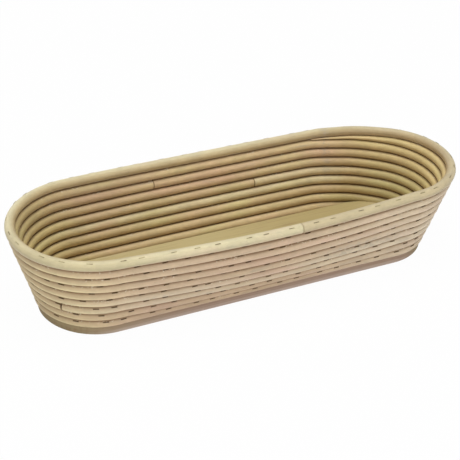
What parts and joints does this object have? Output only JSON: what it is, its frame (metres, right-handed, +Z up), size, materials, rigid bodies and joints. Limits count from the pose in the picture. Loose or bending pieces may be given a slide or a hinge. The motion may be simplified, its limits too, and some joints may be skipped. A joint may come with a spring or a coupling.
{
  "type": "proofing basket",
  "caption": "Long stadium-shaped dough proofing basket: a spiral of stapled round cane rising from a wooden board, with leaning sides, a slightly thicker cane rim and an open top.",
  "frame": {"origin": "Middle of the board's underside, on the surface the basket stands on.", "axes": "+X along the basket's length, +Y towards the side where the turns climb, +Z up."},
  "size_m": [0.4087, 0.1487, 0.0822],
  "materials": {
    "board": "bare sanded plywood",
    "spiral_cane": "peeled cane, satin",
    "rim_cane": "peeled cane, satin",
    "wire": "dull staple wire"
  },
  "bodies": {
    "root": {"base_board": "board", "spiral_cane_1": "spiral_cane", "spiral_cane_2": "spiral_cane", "spiral_cane_3": "spiral_cane", "spiral_cane_4": "spiral_cane", "rim_cane": "rim_cane", "rim_staple_01": "wire", "rim_staple_02": "wire", "rim_staple_03": "wire", "rim_staple_04": "wire", "rim_staple_05": "wire", "rim_staple_06": "wire", "rim_staple_07": "wire", "rim_staple_08": "wire", "rim_staple_09": "wire", "rim_staple_10": "wire", "rim_staple_11": "wire", "rim_staple_12": "wire", "rim_staple_13": "wire", "rim_staple_14": "wire", "rim_staple_15": "wire", "rim_staple_16": "wire", "rim_staple_17": "wire", "rim_staple_18": "wire", "rim_staple_19": "wire", "rim_staple_20": "wire", "rim_staple_21": "wire", "rim_staple_22": "wire", "rim_staple_23": "wire", "rim_staple_24": "wire", "rim_staple_25": "wire", "rim_staple_26": "wire", "rim_staple_27": "wire", "rim_staple_28": "wire", "rim_staple_29": "wire", "rim_staple_30": "wire", "rim_staple_31": "wire", "rim_staple_32": "wire", "rim_staple_33": "wire", "rim_staple_34": "wire", "rim_staple_35": "wire", "rim_staple_36": "wire", "rim_staple_37": "wire", "rim_staple_38": "wire", "rim_staple_39": "wire", "rim_staple_40": "wire", "rim_staple_41": "wire", "rim_staple_42": "wire", "base_staple_1": "wire", "base_staple_2": "wire", "base_staple_3": "wire", "base_staple_4": "wire", "base_staple_5": "wire", "base_staple_6": "wire"}
  },
  "joints": []
}
